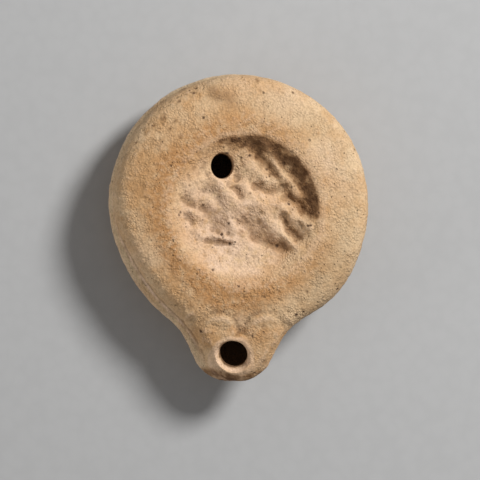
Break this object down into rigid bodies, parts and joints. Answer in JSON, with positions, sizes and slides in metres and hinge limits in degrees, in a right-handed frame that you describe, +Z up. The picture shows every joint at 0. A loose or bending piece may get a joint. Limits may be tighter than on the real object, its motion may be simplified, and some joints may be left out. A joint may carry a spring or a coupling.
{
  "type": "roman oil lamp",
  "caption": "Round mould-made clay oil lamp, hollow, with a sunk discus in worn relief, a small filling hole, a wide shoulder and a short round nozzle with a wick hole.",
  "frame": {"origin": "middle of the flat base that the lamp stands on, below the middle of the round body", "axes": "+Z up, and the nozzle points to -Y"},
  "size_m": [0.0849, 0.1007, 0.0265],
  "materials": {
    "terracotta": "unglazed buff-orange fired clay, matte and sandy, worn"
  },
  "bodies": {
    "root": {"lamp": "terracotta"}
  },
  "joints": []
}
